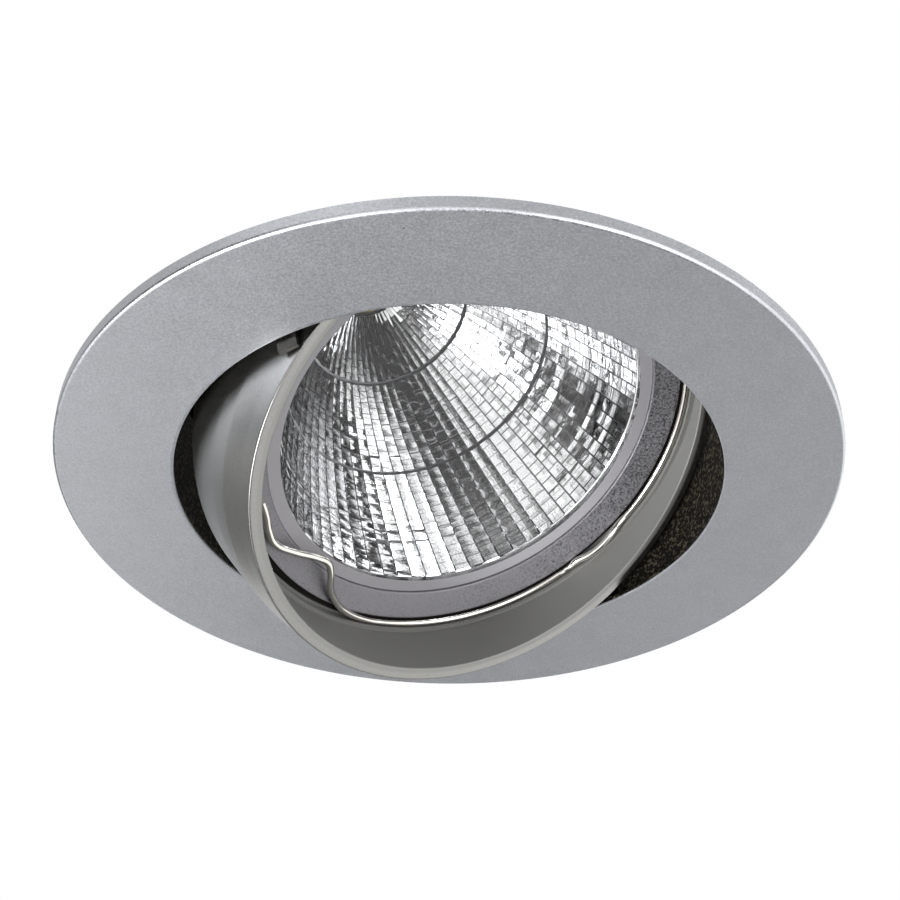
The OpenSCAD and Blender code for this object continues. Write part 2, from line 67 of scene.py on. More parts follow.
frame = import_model()
JOINTS = {joint["name"]: joint for joint in frame["joints"]}
TILT = JOINTS["cup_tilt"]
ACROSS = -Vector(TILT["axis"]).normalized()
MM = 0.001
STEPS_ROUND = 256  # of the trim, the cup and the bezel


# Places


def cup_frame():
    """Frame of the tilted cup: X along the hinge, Z up its axis, origin on the pivots."""
    up = Vector((0, 0, 1))
    level = Matrix((ACROSS, up.cross(ACROSS), up)).transposed().to_4x4()
    lean = Matrix.Rotation(-bpy.context.scene.downlight_cup.tilt, 4, "X")
    return Matrix.Translation(TILT["pos_m"]) @ level @ lean


def lamp_frame():
    """Frame of the lamp in its leaning seat: Z back along its axis, origin on its face."""
    settings = bpy.context.scene.downlight_cup
    drop = Matrix.Translation((0, 0, -settings.lamp_drop))
    return cup_frame() @ drop @ Matrix.Rotation(settings.lamp_lean, 4, "X")


def side_frame(turn):
    """Frame of one pivot's side: X outwards along the hinge, Z up, origin on the ceiling plane."""
    return Matrix.Rotation(math.atan2(ACROSS.y, ACROSS.x) + turn, 4, "Z")


# Shapes


def revolve(bm, outline, steps):
    """Spins a closed outline of (radius, height) in millimetres once round Z."""
    dots = [bm.verts.new((r * MM, 0, z * MM)) for r, z in outline]
    lines = [bm.edges.new(pair) for pair in zip(dots, dots[1:] + dots[:1])]
    bmesh.ops.spin(
        bm, geom=dots + lines, cent=(0, 0, 0), axis=(0, 0, 1), angle=math.tau, steps=steps,
        use_merge=True,
    )
    bmesh.ops.remove_doubles(bm, verts=bm.verts[:], dist=1e-7)


def held(outline, reach):
    """An outline with a point on either side of each corner, which keep its flats flat."""
    shortest = 2.5 * reach
    result = []
    for i, (r, z) in enumerate(outline):
        for other in (outline[i - 1], (r, z), outline[(i + 1) % len(outline)]):
            across, along = other[0] - r, other[1] - z
            length = math.hypot(across, along)
            if not length:
                result.append((r, z))
            elif length > shortest:
                result.append((r + across * reach / length, z + along * reach / length))
    return result


def bevel(bm, edges, size, segments):
    """Rounds edges by size millimetres."""
    bmesh.ops.bevel(
        bm, geom=edges, offset=size * MM, offset_type="OFFSET", segments=segments, profile=0.5,
        affect="EDGES", material=-1, clamp_overlap=True,
    )


def on_circle(co, r, z, near=2e-6):
    """Whether a point lies on the circle of radius r at height z, all in metres."""
    return abs(math.hypot(co.x, co.y) - r) < near and abs(co.z - z) < near


def round_rings(bm, corners, segments):
    """Rounds the circular edges at each (radius, height, size) in millimetres."""
    for r, z, size in corners:
        ring = [e for e in bm.edges if all(on_circle(v.co, r * MM, z * MM) for v in e.verts)]
        bevel(bm, ring, size, segments)


def soften(bm, angle):
    """Smooth faces, with a crisp edge wherever two faces meet at angle degrees or more."""
    for face in bm.faces:
        face.smooth = True
    for edge in bm.edges:
        edge.smooth = len(edge.link_faces) == 2 and edge.calc_face_angle(0) < math.radians(angle)


def crisp(bm, corner):
    """Marks as crisp every edge whose two ends both lie on a facet's border."""
    for edge in bm.edges:
        if all(corner(vert.co) for vert in edge.verts):
            edge.smooth = False


def block(bm, low, high):
    """Adds a box between two corners in millimetres."""
    made = bmesh.ops.create_cube(bm, size=1)
    low, high = Vector(low) * MM, Vector(high) * MM
    bmesh.ops.scale(bm, vec=high - low, verts=made["verts"])
    bmesh.ops.translate(bm, vec=(high + low) / 2, verts=made["verts"])
    return made["verts"]


def mesh_of(name, bm, materials=()):
    """A mesh with its materials from a finished bmesh, which is freed."""
    mesh = bpy.data.meshes.new(name)
    bm.to_mesh(mesh)
    bm.free()
    for material in materials:
        mesh.materials.append(material)
    return mesh


def placed(name, data):
    """A new object in the scene."""
    made = bpy.data.objects.new(name, data)
    bpy.context.scene.collection.objects.link(made)
    return made


def add_piece(name, data, body, replaces):
    """Puts a mesh or curve into the scene as a piece that rides on a body."""
    made = placed(name, data)
    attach(made, body)
    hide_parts(*replaces)


def piece(name, bm, place, body, materials, replaces, angle=30, corner=None):
    """Turns a finished bmesh into a piece, crisp where faces meet at angle and at each corner."""
    bmesh.ops.recalc_face_normals(bm, faces=bm.faces[:])
    soften(bm, angle)
    if corner:
        crisp(bm, corner)
    bm.transform(place)
    add_piece(name, mesh_of(name, bm, materials), body, replaces)


def wire_piece(name, points, radius, place, body, material, replaces, smooth=False):
    """A round wire through points in millimetres, as a curve that is filled at both ends."""
    curve = bpy.data.curves.new(name, "CURVE")
    curve.dimensions = "3D"
    curve.bevel_depth = radius * MM
    curve.bevel_resolution = 5
    curve.use_fill_caps = True
    curve.resolution_u = 6
    spline = curve.splines.new("BEZIER" if smooth else "POLY")
    knots = spline.bezier_points if smooth else spline.points
    knots.add(len(points) - 1)
    for knot, point in zip(knots, points):
        spot = place @ (Vector(point) * MM)
        if smooth:
            knot.co = spot
            knot.handle_left_type = knot.handle_right_type = "AUTO"
        else:
            knot.co = spot.to_4d()
    curve.materials.append(material)
    add_piece(name, curve, body, replaces)


def dressed(node, name, material, soft_edge=0.0):
    """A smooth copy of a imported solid, with its sharp edges eased by soft_edge millimetres."""
    crease = 35
    source = frame["nodes"][node]
    bm = bmesh.new()
    bm.from_mesh(source.data)
    bmesh.ops.remove_doubles(bm, verts=bm.verts[:], dist=1e-6)
    bmesh.ops.dissolve_limit(
        bm, angle_limit=math.radians(0.6), use_dissolve_boundaries=False, verts=bm.verts[:],
        edges=bm.edges[:],
    )
    if soft_edge:
        limit = math.radians(crease)
        pairs = [e for e in bm.edges if len(e.link_faces) == 2]
        bevel(bm, [e for e in pairs if e.calc_face_angle(0) > limit], soft_edge, 2)
    piece(name, bm, Matrix(), source["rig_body"], [material], [node], angle=crease)


# Materials


class Wiring:
    """Short names for the nodes of one material or node group."""

    def __init__(self, tree):
        self.tree = tree
        self.tree.nodes.clear()

    def node(self, kind, **values):
        """A new node of a kind such as "Math", with its settings."""
        made = self.tree.nodes.new("ShaderNode" + kind)
        for key, value in values.items():
            setattr(made, key, value)
        return made

    def join(self, source, target):
        self.tree.links.new(source, target)

    def feed(self, target, value):
        if isinstance(value, bpy.types.NodeSocket):
            self.join(value, target)
        else:
            target.default_value = value

    def give(self, made, values):
        """Feeds a node's inputs by name or place and gives its first output."""
        for key, value in values.items():
            self.feed(made.inputs[key], value)
        return made.outputs[0]

    def math(self, operation, *values):
        return self.give(self.node("Math", operation=operation), dict(enumerate(values)))

    def mix(self, amount, a, b):
        made = self.node("Mix", data_type="RGBA")
        self.give(made, {"Factor": amount, 6: a, 7: b})
        return made.outputs[2]

    def between(self, value, low, high, out_low=0.0, out_high=1.0):
        """A smooth step from out_low to out_high as value goes from low to high."""
        made = self.node("MapRange", interpolation_type="SMOOTHSTEP")
        return self.give(made, dict(enumerate((value, low, high, out_low, out_high))))

    def noise(self, vector, scale, detail, roughness):
        values = {"Vector": vector, "Scale": scale, "Detail": detail, "Roughness": roughness}
        return self.give(self.node("TexNoise"), values)

    def place(self, matrix):
        """Object coordinates, in metres, seen from a local frame."""
        return self.give(self.node("Mapping", vector_type="TEXTURE"), {
            "Vector": self.node("TexCoord").outputs["Object"],
            "Location": matrix.to_translation(),
            "Rotation": matrix.to_euler(),
        })

    def parts(self, vector):
        """The x, y and z of a vector."""
        made = self.node("SeparateXYZ")
        self.join(vector, made.inputs[0])
        return made.outputs

    def polar(self, vector):
        """(radius, height) of a vector about Z."""
        x, y, z = self.parts(vector)
        squares = [self.math("MULTIPLY", side, side) for side in (x, y)]
        return self.math("SQRT", self.math("ADD", *squares)), z


def effect(name, inputs, outputs, build):
    """A shader node group that takes a vector and named values, built once."""
    if name in bpy.data.node_groups:
        return bpy.data.node_groups[name]
    tree = bpy.data.node_groups.new(name, "ShaderNodeTree")
    tree.interface.new_socket("Vector", in_out="INPUT", socket_type="NodeSocketVector")
    for way, labels in (("INPUT", inputs), ("OUTPUT", outputs)):
        for label in labels:
            tree.interface.new_socket(label, in_out=way, socket_type="NodeSocketFloat")
    wiring = Wiring(tree)
    start, end = tree.nodes.new("NodeGroupInput"), tree.nodes.new("NodeGroupOutput")
    build(wiring, start.outputs, end.inputs)
    return tree


def satin_grain():
    """Fine pitted grain of a plated casting: height, and small shifts of colour and roughness."""

    def build(w, given, result):
        fine = w.noise(given["Vector"], given["Scale"], 3.0, 0.6)
        coarse = w.noise(given["Vector"], w.math("MULTIPLY", given["Scale"], 0.07), 2.0, 0.5)
        shade = w.math("ADD", w.math("MULTIPLY", fine, 0.88), w.math("MULTIPLY", coarse, 0.12))
        spread = w.math("MULTIPLY", w.math("SUBTRACT", shade, 0.5), given["Amount"])
        rough = w.math("ADD", given["Roughness"], w.math("MULTIPLY", spread, 0.6))
        w.join(w.math("ADD", 1.0, spread), result["Tint"])
        w.join(rough, result["Roughness"])
        w.join(fine, result["Height"])

    outputs = ["Tint", "Roughness", "Height"]
    return effect("Satin grain", ["Scale", "Amount", "Roughness"], outputs, build)


def dust_specks():
    """Rare tiny specks: a mask that is one on a speck."""

    def build(w, given, result):
        rare, inner, outer = 0.955, 0.018, 0.034
        cells = w.node("TexVoronoi")
        w.give(cells, {"Vector": given["Vector"], "Scale": given["Scale"]})
        chosen = w.math("GREATER_THAN", w.parts(cells.outputs["Color"])[0], rare)
        near = w.between(cells.outputs["Distance"], inner, outer, 1.0, 0.0)
        w.join(w.math("MULTIPLY", chosen, near), result["Mask"])

    return effect("Dust specks", ["Scale"], ["Mask"], build)


def fresh(block):
    """A new material or world, emptied, with its wiring."""
    block.use_nodes = True
    return block, Wiring(block.node_tree)


def blank(name):
    """(material, wiring, shader): a new material with one principled shader."""
    material, w = fresh(bpy.data.materials.new(name))
    shader, end = w.node("BsdfPrincipled"), w.node("OutputMaterial")
    w.join(shader.outputs[0], end.inputs["Surface"])
    return material, w, shader


def relief(w, shader, height, depth):
    """Bumps a shader by a height map that is depth millimetres deep."""
    values = {"Strength": 1.0, "Distance": depth * MM, "Height": height}
    w.join(w.give(w.node("Bump"), values), shader.inputs["Normal"])


def grained(w, shader, vector, colour, roughness, grain, scale, bump):
    """Gives a shader the satin grain, and returns its tinted colour and its roughness."""
    group = w.node("Group", node_tree=satin_grain())
    values = {"Vector": vector, "Scale": scale, "Amount": grain, "Roughness": roughness}
    w.give(group, values)
    tint, rough, height = group.outputs
    scaled = w.node("VectorMath", operation="SCALE")
    tinted = w.give(scaled, {0: colour, "Scale": tint})
    w.give(shader, {"Base Color": tinted, "Roughness": rough})
    relief(w, shader, height, bump)
    return tinted, rough


def metal(name, colour, roughness, grain, scale=1500, bump=0.003, place=Matrix(), shade=None):
    """Satin or bright metal. shade(wiring, vector, colour) gives (colour, mask of painted shade).
    """
    material, w, shader = blank(name)
    vector = w.place(place)
    paint, rough = grained(w, shader, vector, colour, roughness, grain, scale, bump)
    shader.inputs["Metallic"].default_value = 1.0
    if shade:
        paint, painted_shade = shade(w, vector, paint)
        w.give(shader, {
            "Specular IOR Level": 0.1,
            "Metallic": w.math("SUBTRACT", 1.0, painted_shade),
            "Roughness": w.math("ADD", rough, w.math("MULTIPLY", painted_shade, 0.4)),
        })
    w.join(paint, shader.inputs["Base Color"])
    return material


def plastic(name, colour, roughness, scale=900.0, bump=0.01):
    """Moulded plastic or ceramic with a faint mottle and orange-peel relief."""
    mottle = 0.1
    material, w, shader = blank(name)
    grained(w, shader, w.place(Matrix()), colour, roughness, mottle, scale, bump)
    shader.inputs["Specular IOR Level"].default_value = 0.4
    return material


def facet_metal(name, colour, roughness):
    """Bright metal whose facets have duller borders; the UV map holds each facet's own square."""
    widths, dull_colour, dull = (0.08, 0.07), (0.12, 0.12, 0.13, 1), 0.2
    material, w, shader = blank(name)
    square = w.parts(w.node("UVMap", uv_map="facet").outputs[0])
    borders = [
        w.between(w.math("ABSOLUTE", w.math("SUBTRACT", way, 0.5)), 0.5 - wide, 0.5 - wide / 3)
        for way, wide in zip(square, widths)
    ]
    border = w.math("MAXIMUM", *borders)
    haze = w.noise(w.place(Matrix()), 900.0, 3.0, 0.6)
    soft = w.math("ADD", roughness, w.math("MULTIPLY", w.math("SUBTRACT", haze, 0.5), 0.05))
    w.give(shader, {
        "Base Color": w.mix(border, (*colour, 1), dull_colour),
        "Roughness": w.math("ADD", soft, w.math("MULTIPLY", border, dull)),
        "Metallic": 1.0,
    })
    relief(w, shader, haze, 0.001)
    return material


def glass_material():
    """Clear front glass with faint smudges."""
    material, w, shader = blank("Front glass")
    smudge = w.noise(w.place(Matrix()), 160.0, 3.0, 0.6)
    w.give(shader, {
        "Roughness": w.between(smudge, 0.45, 0.9, 0.0, 0.05),
        "Base Color": (0.97, 0.98, 0.98, 1),
        "Transmission Weight": 1.0,
        "IOR": 1.3,
    })
    return material


def painted_collar_shade(w, vector, colour):
    """Painted shade inside the collar: dark, with paler specks; rare dust lies on the casting."""
    radius, height = w.polar(vector)
    s = bpy.context.scene.downlight_trim
    inside = w.between(radius, s.collar_r + 0.2 * MM, s.collar_r + 0.6 * MM, 1.0, 0.0)
    above = w.between(height, 0.1 * MM - s.flange_t, 0.25 * MM - s.flange_t)
    speck = w.between(w.noise(vector, 2500.0, 2.0, 0.6), 0.5, 0.65)
    painted_shade = w.mix(speck, (*s.collar_shade_colour, 1), (0.07, 0.062, 0.045, 1))
    mask = w.math("MULTIPLY", inside, above)
    dust = w.give(w.node("Group", node_tree=dust_specks()), {"Vector": vector, "Scale": 260.0})
    return w.mix(dust, w.mix(mask, colour, painted_shade), (0.2, 0.2, 0.2, 1)), mask


def painted_step_shadow(w, vector, colour):
    """Painted shadow: the bezel's step, where the clip lies, is dark and less metallic."""
    radius = w.polar(vector)[0]
    s = bpy.context.scene.downlight_lamp
    outside = w.between(radius, s.step_r - 0.1 * MM, s.step_r)
    return w.mix(outside, colour, (0.015, 0.014, 0.013, 1)), w.math("MULTIPLY", outside, 0.8)


def painted_cup_shade(w, vector, colour):
    """Painted shade: the cup's skirt is dark and less metallic inside the rim, and the rim's face
    is a little darker.
    """
    radius, height = w.polar(vector)
    s = bpy.context.scene.downlight_cup
    inner = w.between(radius, s.bore_r + 0.3 * MM, s.bore_r + 0.8 * MM, 1.0, 0.0)
    face = w.between(height, 0.25 * MM - s.rim_drop, 0.1 * MM - s.rim_drop)
    shaded_rim_face = w.mix(w.math("MULTIPLY", face, 0.38), colour, (0, 0, 0, 1))
    return w.mix(inner, shaded_rim_face, (*s.skirt_shade_colour, 1)), w.math("MULTIPLY", inner, 0.6)


# Settings


def size(name, description, default):
    """A length in metres, given in millimetres."""
    return bpy.props.FloatProperty(
        name=name, description=description, default=default * MM, min=0, unit="LENGTH", precision=5
    )


def degrees(name, description, default):
    """An angle in radians, given in degrees."""
    return bpy.props.FloatProperty(
        name=name, description=description, default=math.radians(default), subtype="ANGLE",
        unit="ROTATION",
    )


def colour(name, description, default):
    """A colour of three parts, each from 0 to 1."""
    return bpy.props.FloatVectorProperty(
        name=name, description=description, default=default, min=0, max=1, size=3, subtype="COLOR"
    )


def count(name, description, default, low):
    """A whole number that is at least low."""
    return bpy.props.IntProperty(name=name, description=description, default=default, min=low)


def power(name, description, default):
    """The power of a light in watts."""
    return bpy.props.FloatProperty(
        name=name, description=description, default=default, unit="POWER"
    )


class DownlightTrim(bpy.types.PropertyGroup):
    flange_r: size("Flange radius", "Outer radius of the flange", 40)
    flange_t: size("Flange thickness", "Thickness of the flange", 1.55)
    outer_round: size("Outer rounding", "Rounding of the flange's outer edge", 0.8)
    opening_r: size("Opening radius", "Radius of the round opening", 28)
    lip_t: size("Lip thickness", "Thickness of the lip round the opening", 0.7)
    collar_r: size("Collar radius", "Inside radius of the collar", 29.2)
    collar_t: size("Collar wall", "Wall of the collar", 1.5)
    collar_h: size("Collar height", "Height of the collar above the ceiling", 13)
    pad_w: size("Pad width", "Width of the pad behind a bracket", 16)
    pad_z: size("Pad height", "Where the pad starts above the ceiling", 2.3)
    finish: colour("Finish", "Colour of the satin nickel", (0.585, 0.605, 0.645))
    # The collar's dark tone is painted shade for the unlit void behind the ceiling.
    collar_shade_colour: colour("Collar colour", "Dark tone inside the collar", (0.005, 0.0045, 0.0035))


class DownlightCup(bpy.types.PropertyGroup):
    tilt: degrees("Tilt", "Tilt of the cup as drawn", 35.4)
    lamp_lean: degrees("Lamp lean", "Lean of the lamp's seat in the cup", 8.5)
    lamp_drop: size("Lamp drop", "Depth of the lamp's face below the pivot", 4.74)
    rim_drop: size("Rim drop", "Depth of the cup's rim below the pivot", 9.85)
    rim_r: size("Rim radius", "Outer radius of the rim", 26.9)
    wall_r: size("Wall radius", "Largest radius of the wall", 27.6)
    bore_r: size("Bore radius", "Radius of the bore seen from below", 25.5)
    top: size("Top", "Height of the back edge above the pivot", 5)
    pocket_r: size("Pocket radius", "Radius of the lamp's pocket", 25.2)
    seat_r: size("Seat radius", "Inner radius of the lamp's seat", 23.6)
    edge_round: size("Edge rounding", "Rounding of the rim's edges", 0.12)
    finish: colour("Finish", "Colour of the cup's satin metal", (0.52, 0.52, 0.505))
    # The skirt's dark tone is painted shade inside the cup.
    skirt_shade_colour: colour("Skirt colour", "Dark tone inside the rim", (0.25, 0.25, 0.24))


class DownlightLamp(bpy.types.PropertyGroup):
    bezel_r: size("Bezel radius", "Outer radius of the bezel", 25)
    window_r: size("Window radius", "Inner radius of the bezel", 21.6)
    bezel_in: size("Bezel slope", "How far the bezel's inner edge lies behind its face", 1)
    step_r: size("Step radius", "Radius of the bezel's raised face", 24.4)
    step_z: size("Step", "Depth of the step for the wire", 0.35)
    seat_z: size("Bezel depth", "Depth of the bezel", 3.2)
    glass_r: size("Glass radius", "Radius of the front glass", 23.2)
    glass_z: size("Glass depth", "Depth of the glass behind the face", 1.3)
    glass_t: size("Glass thickness", "Thickness of the glass", 1.2)
    mouth_r: size("Mouth radius", "Radius of the reflector's mouth", 20.2)
    mouth_z: size("Mouth depth", "Depth of the reflector's mouth", 2.6)
    dish_depth: size("Dish depth", "Distance from mouth to focus", 30.7)
    dish_end: size("Dish end", "Depth at which the dish is cut off", 32)
    groove_a: size("Outer groove", "Depth of the outer groove in the dish", 15.5)
    groove_b: size("Inner groove", "Depth of the inner groove in the dish", 26)
    columns: count("Facet columns", "Facets round the dish", 72, 12)
    rows: count("Facet rows", "Facets between mouth and outer groove", 10, 3)
    tilt: degrees("Facet tilt", "How far each facet leans towards the mouth", 4.5)
    bulge: size("Facet bulge", "How far a facet swells across its column", 0.035)
    border_colour: colour("Border colour", "Border fired onto the glass", (0.36, 0.353, 0.375))
    finish: colour("Bezel finish", "Colour of the bezel's metallic coat", (0.23, 0.226, 0.24))
    # The band's near-white colour is painted light, standing in for the light that the glass holds
    # back.
    band_lightened_colour: colour("Band colour", "The reflector's rim behind the glass", (0.85, 0.84, 0.87))


class DownlightClip(bpy.types.PropertyGroup):
    wire: size("Wire", "Thickness of the clip's wire", 0.8)
    ring_r: size("Ring radius", "Radius of the clip's ring", 25.05)
    depth: size("Depth", "Height of the wire in front of the lamp's face", 0.05)
    bump: size("Bump", "How far the kink stands forward", 1)


class DownlightSprings(bpy.types.PropertyGroup):
    wire: size("Wire", "Thickness of the spring wire", 1.2)
    curl_r: size("Curl radius", "Mean radius of the curls", 2.45)
    turns: count("Turns", "Curls of each spring", 6, 2)
    coil_w: size("Coil width", "Width of the coil", 10)
    arm: size("Arm length", "Length of an arm's straight part", 30)
    slope: degrees("Arm slope", "Slope of an arm below level", 14)
    tip_r: size("Tip radius", "Radius of the turn at an arm's tip", 5)
    sleeve_r: size("Sleeve radius", "Outer radius of the sleeve", 1.15)
    sleeve_leg: size("Sleeve leg", "Length of the sleeve's straight ends", 7)


class DownlightStage(bpy.types.PropertyGroup):
    below: degrees("View from below", "How far below level the camera stands", 36.558)
    distance: size("Distance", "Camera's distance from the origin", 182.03)
    roll: degrees("Roll", "Roll of the camera", 0.379)
    aim_across: degrees("Aim across", "Turn of the camera to the side", 0.0361)
    aim_up: degrees("Aim up", "Turn of the camera upwards", 0.8537)
    lens: bpy.props.FloatProperty(
        name="Lens", description="Focal length in millimetres", default=70.74
    )
    key: power("Key light", "Power of the key light", 3.0)
    fill: power("Fill light", "Power of the fill light", 1.0)
    top: power("Top light", "Power of each light above", 1.2)


# Pieces


def in_mm(settings, *names):
    """The named lengths of a group of settings, in millimetres."""
    return [getattr(settings, name) / MM for name in names]


class DOWNLIGHT_OT_trim_ring(bpy.types.Operator):
    """Turned trim ring: rounded flange, thin lip, collar and the pads behind the brackets"""

    bl_idname = "downlight.trim_ring"
    bl_label = "Trim ring"

    def execute(self, context):
        s = context.scene.downlight_trim
        r, t, hole, lip, collar, wall, high, pad_w, pad_z, round_r = in_mm(
            s, "flange_r", "flange_t", "opening_r", "lip_t", "collar_r", "collar_t", "collar_h",
            "pad_w", "pad_z", "outer_round",
        )
        outside, pad_stands = collar + wall, 0.2
        bm = bmesh.new()
        revolve(bm, held([
            (hole, -t), (r, -t), (r, 0), (outside, 0), (outside, high), (collar, high),
            (collar, lip - t), (hole, lip - t),
        ], 0.35), STEPS_ROUND)
        round_rings(bm, [(r, -t, round_r)], 8)
        lip_edges = [(hole, -t, 0.1), (hole, lip - t, 0.1)]
        round_rings(bm, lip_edges + [(collar, high, 0.3), (outside, high, 0.3)], 2)
        for turn in (0, math.pi):
            low = (collar + wall / 3, -pad_w / 2, pad_z)
            verts = block(bm, low, (outside + pad_stands, pad_w / 2, high))
            bmesh.ops.transform(bm, matrix=side_frame(turn), verts=verts)
        # The coat paints shade inside the collar.
        coat = metal("Satin nickel", s.finish, 0.4, grain=0.75, scale=5000, bump=0.0045,
                     shade=painted_collar_shade)
        piece("trim_casting", bm, Matrix(), "trim", [coat], ["trim_ring"])
        return {"FINISHED"}


class DOWNLIGHT_OT_brackets(bpy.types.Operator):
    """Sheet-steel brackets with their rivets, the leaf springs on the pivots and the spring pins"""

    bl_idname = "downlight.brackets"
    bl_label = "Brackets and pins"

    def execute(self, context):
        grey = (0.56, 0.57, 0.58)
        sheet = metal("Galvanised sheet", grey, 0.4, grain=0.35, scale=500, bump=0.004)
        leaf = metal("Leaf steel", (0.1, 0.097, 0.09), 0.4, grain=1.2, scale=2600, bump=0.006)
        rivet = metal("Rivet", (0.66, 0.66, 0.67), 0.33, grain=0.15, bump=0.004)
        dressed("side_bracket_a", "bracket_near", sheet, 0.12)
        dressed("side_bracket_b", "bracket_far", sheet, 0.12)
        dressed("bracket_rivets", "rivets", rivet, 0.15)
        dressed("pivot_leaves", "leaf_springs", leaf)
        dressed("spring_pins", "pins", rivet, 0.12)
        return {"FINISHED"}


class DOWNLIGHT_OT_mounting_springs(bpy.types.Operator):
    """The two wound mounting springs with the sleeves on their turned tips"""

    bl_idname = "downlight.mounting_springs"
    bl_label = "Mounting springs"

    def execute(self, context):
        s = context.scene.downlight_springs
        wire, curl, width, arm, tip, sleeve, leg = in_mm(
            s, "wire", "curl_r", "coil_w", "arm", "tip_r", "sleeve_r", "sleeve_leg"
        )
        along = Vector((math.cos(s.slope), 0, -math.sin(s.slope)))
        steel = metal("Spring wire", (0.45, 0.45, 0.46), 0.25, grain=0.15, scale=1200)
        soft = plastic("Sleeve", (0.5, 0.5, 0.49), 0.45)
        fine, tip_steps, tail, free = 32, 20, 0.4, 2
        for tag, turn in (("a", 0.0), ("b", math.pi)):
            joint = Vector(JOINTS[f"spring_{tag}_fold"]["pos_m"]) / MM
            middle = Vector((math.hypot(joint.x, joint.y), 0, joint.z))
            coil = []
            for step in range(s.turns * fine + 1):
                angle = math.pi / 2 - s.slope - math.tau * step / fine
                across = -width / 2 + width * step / (s.turns * fine)
                x, z = curl * math.cos(angle), curl * math.sin(angle)
                coil.append(middle + Vector((x, across, z)))
            end = coil[-1] + arm * along - Vector((0, tip, 0))
            bend = [
                end + tip * (math.cos(a) * along + Vector((0, math.sin(a), 0)))
                for a in [math.pi / 2 - math.pi * i / tip_steps for i in range(tip_steps + 1)]
            ]
            back = end - Vector((0, tip, 0)) - (arm - leg - free) * along
            place, body = side_frame(turn), f"spring_{tag}"
            path = [coil[0] - (wire + tail) * along, *coil, *bend, back]
            wire_piece(f"wound_spring_{tag}", path, wire / 2, place, body, steel,
                       [f"mounting_spring_{tag}"])
            cover = [bend[0] - leg * along, *bend, bend[-1] - leg * along]
            wire_piece(f"tip_sleeve_{tag}", cover, sleeve, place, body, soft,
                       [f"spring_sleeve_{tag}"])
        return {"FINISHED"}


class DOWNLIGHT_OT_cup(bpy.types.Operator):
    """Tilting cup: a barrelled wall with a thin rim, and the leaning seat inside it"""

    bl_idname = "downlight.cup"
    bl_label = "Cup"

    def execute(self, context):
        s = context.scene.downlight_cup
        drop, rim, wall, bore, top, pocket, seat, ease = in_mm(
            s, "rim_drop", "rim_r", "wall_r", "bore_r", "top", "pocket_r", "seat_r", "edge_round"
        )
        bm = bmesh.new()
        revolve(bm, held([
            (bore, -drop), (rim, -drop), (rim + 0.2, 2 - drop), (wall - 0.1, 5 - drop),
            (wall, 7.4 - drop), (wall, top - 2), (wall - 0.7, top), (bore, top),
        ], 0.25), STEPS_ROUND)
        round_rings(bm, [(bore, -drop, ease), (rim, -drop, ease)], 3)
        # The seat's heights run back from the lamp's face: its front, clip groove, ledge and back.
        front, groove, groove_end, ledge, rear = -1, -0.65, 0.55, 3.2, 5.4
        ring = bmesh.new()
        revolve(ring, [
            (pocket, front), (pocket + 1, front), (pocket + 1, rear), (seat, rear), (seat, ledge),
            (pocket, ledge), (pocket, groove_end), (bore, groove_end), (bore, groove),
            (pocket, groove),
        ], STEPS_ROUND)
        ring.transform(cup_frame().inverted() @ lamp_frame())
        spare = mesh_of("seat_ring", ring)
        bm.from_mesh(spare)
        bpy.data.meshes.remove(spare)
        # The coat paints shade on the skirt and the rim's face.
        coat = metal("Cup nickel", s.finish, 0.32, grain=0.45, scale=4200, bump=0.006,
                     place=cup_frame(), shade=painted_cup_shade)
        piece("tilting_cup", bm, cup_frame(), "cup", [coat], ["cup"], angle=35)
        return {"FINISHED"}


class DOWNLIGHT_OT_pivots(bpy.types.Operator):
    """Pivot screws and their friction washers"""

    bl_idname = "downlight.pivots"
    bl_label = "Pivots"

    def execute(self, context):
        zinc = metal("Zinc screw", (0.6, 0.61, 0.63), 0.3, grain=0.2)
        nylon = plastic("Nylon washer", (0.78, 0.77, 0.72), 0.5)
        dressed("pivot_screws", "tilt_screws", zinc, 0.08)
        dressed("friction_washers", "tilt_washers", nylon, 0.08)
        return {"FINISHED"}


class DOWNLIGHT_OT_wire_clip(bpy.types.Operator):
    """Sprung wire clip that holds the lamp, with its kink and squeeze tab"""

    bl_idname = "downlight.wire_clip"
    bl_label = "Wire clip"

    def execute(self, context):
        s = context.scene.downlight_clip
        wire, r, depth, bump = in_mm(s, "wire", "ring_r", "depth", "bump")
        kink, kink_half = -1, 9
        path = []
        for angle in range(-216, 67, 3):
            swell = max(0.0, 1 - ((angle - kink) / kink_half) ** 2)
            ring = r - 0.5 * bump * min(1.0, 2.5 * swell)
            turn = math.radians(angle)
            path.append((ring * math.cos(turn), ring * math.sin(turn), -depth - bump * swell))
        # The squeeze tab: each point's place along it, how far inside the ring, and its lift.
        tab = [
            (6.3, 1.51, 0.1), (3.9, 1.99, 0), (2.5, 2.71, 0), (0.5, 4.36, 0), (-0.4, 4.74, 0),
            (-1.7, 4.54, 0), (-4.7, 3.45, 0), (-7.1, 2.99, 0), (-8.9, 3.7, 0), (-10.7, 4.87, 0),
            (-12.3, 5.7, 0),
        ]
        tab_z = -depth - 0.42
        path += [(x, r - inwards, tab_z + lift) for x, inwards, lift in tab]
        bright = metal("Clip wire", (0.78, 0.76, 0.72), 0.16, grain=0.1, bump=0.002)
        wire_piece("lamp_clip", path, wire / 2, lamp_frame(), "cup", bright,
                   ["wire_clip"], smooth=True)
        return {"FINISHED"}


